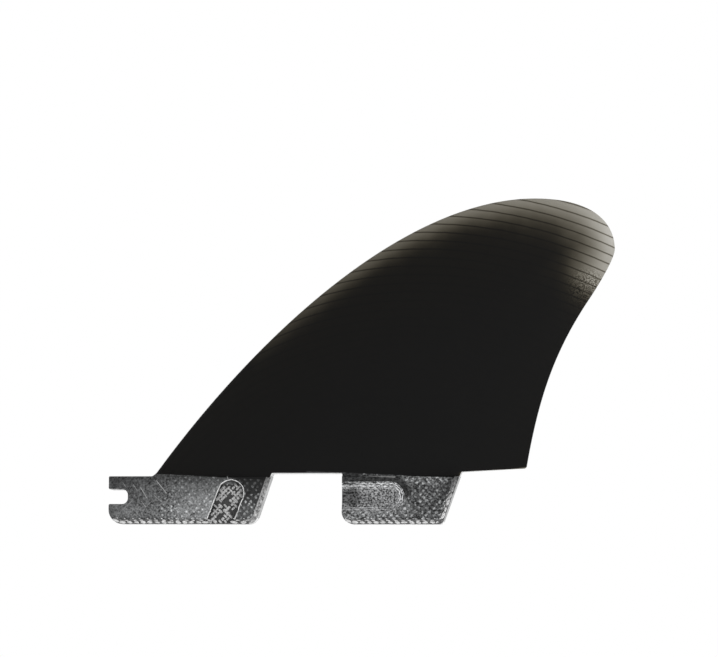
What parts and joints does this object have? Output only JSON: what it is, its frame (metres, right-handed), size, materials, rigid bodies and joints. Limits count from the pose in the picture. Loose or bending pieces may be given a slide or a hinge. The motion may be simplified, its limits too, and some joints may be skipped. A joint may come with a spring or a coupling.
{
  "type": "surfboard fin",
  "caption": "Swept surfboard fin: foiled blade with a flat inner face over notched, grooved click-in box tabs, in one glass laminate.",
  "frame": {"origin": "middle of the flat base between the two tabs, on the tabs' mid-plane", "axes": "+X towards the tail of the board, +Z out of the board along the blade, -Y out of the foiled face, +Y out of the flat face"},
  "size_m": [0.1632, 0.0064, 0.1054],
  "materials": {
    "smoked_laminate": "tinted glass-cloth laminate, sanded satin"
  },
  "bodies": {
    "root": {"fin": "smoked_laminate"}
  },
  "joints": []
}
